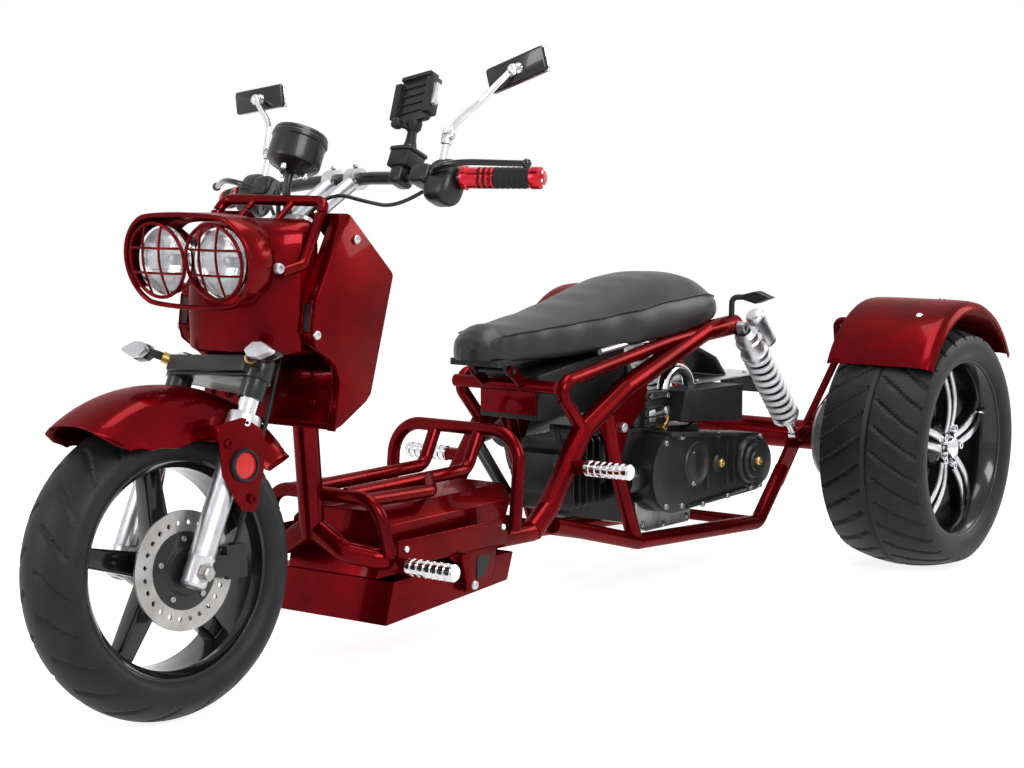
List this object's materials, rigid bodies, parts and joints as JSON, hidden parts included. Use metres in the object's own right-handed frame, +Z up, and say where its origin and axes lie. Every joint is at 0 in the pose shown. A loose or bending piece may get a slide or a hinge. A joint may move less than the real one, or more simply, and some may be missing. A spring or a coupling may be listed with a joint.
{
  "type": "motor trike",
  "caption": "Small motor trike with one steered front wheel, two driven rear wheels, a red tube frame with a low floor, a twin lamp, an open engine and a stepped seat.",
  "frame": {"origin": "on the floor under the middle of the overall length and width", "axes": "+X towards the front wheel, +Y to the rider's left, +Z up"},
  "size_m": [2.3618, 1.0642, 1.0531],
  "materials": {
    "candy_red": "gloss",
    "chrome": "polished",
    "clear_lens": "gloss",
    "black_plastic": "matte",
    "engine_black": "satin",
    "black_steel": "satin",
    "silver": "satin",
    "white_steel": "gloss",
    "seat_leather": "satin",
    "red_lens": "gloss",
    "rubber": "matte",
    "tyre": "matte",
    "steel": "satin",
    "machined": "satin"
  },
  "bodies": {
    "chassis": {"neck_tube": "candy_red", "floor_rails": "candy_red", "main_tubes": "candy_red", "seat_rails": "candy_red", "engine_cradle": "candy_red", "floor_box": "candy_red", "floor_rack": "candy_red", "side_plates": "candy_red", "step_brackets": "candy_red", "front_footpegs": "chrome", "rear_footpegs": "chrome", "peg_mounts": "candy_red", "leg_shield": "candy_red", "front_cowl": "candy_red", "headlight_housing": "candy_red", "headlamps": "clear_lens", "headlight_grille": "candy_red", "cowl_guard": "candy_red", "tool_box": "black_plastic", "engine_block": "engine_black", "drive_cover": "engine_black", "air_box": "black_plastic", "silencer": "black_steel", "axle_carrier": "candy_red", "shock_bodies": "silver", "shock_springs": "white_steel", "rear_fenders": "candy_red", "fender_stays": "candy_red", "guard_plate": "silver", "rear_lights": "black_plastic"},
    "seat": {"seat_pad": "seat_leather", "seat_base": "black_plastic"},
    "steering": {"fork_crown": "black_steel", "fork_stanchions": "chrome", "fork_sliders": "silver", "front_axle": "silver", "front_fender": "candy_red", "fork_reflectors": "red_lens", "front_signals": "clear_lens", "handlebar": "black_steel", "bar_risers": "silver", "grips": "rubber", "bar_controls": "black_plastic", "gauge": "black_plastic", "mirrors": "chrome", "device_holder": "black_plastic", "front_caliper": "black_steel", "brake_hose": "rubber", "control_cable_left": "rubber", "control_cable_right": "rubber"},
    "front_wheel": {"front_tyre": "tyre", "front_rim": "black_steel", "front_disc": "steel"},
    "rear_axle": {"rear_axle": "steel", "rear_tyre_left": "tyre", "rear_tyre_right": "tyre", "rear_rim_left": "machined", "rear_rim_right": "machined"}
  },
  "joints": [
    {"name": "steer", "type": "hinge", "parent": "chassis", "child": "steering", "pos_m": [0.89356, 0, 0.22148], "axis": [-0.4384, 0, 0.8988], "range_deg": [-26.9, 43.1]},
    {"name": "front_wheel_spin", "type": "hinge", "parent": "steering", "child": "front_wheel", "pos_m": [0.93805, -0.00705, 0.24318], "axis": [0.1266, 0.99, 0.0618], "continuous": true},
    {"name": "rear_axle_spin", "type": "hinge", "parent": "chassis", "child": "rear_axle", "pos_m": [-0.9215, 0, 0.2604], "axis": [0, 1, 0], "continuous": true},
    {"name": "seat_lift", "type": "hinge", "parent": "chassis", "child": "seat", "pos_m": [0.06058, 0, 0.48128], "axis": [0, 1, 0], "range_deg": [0, 60]}
  ]
}
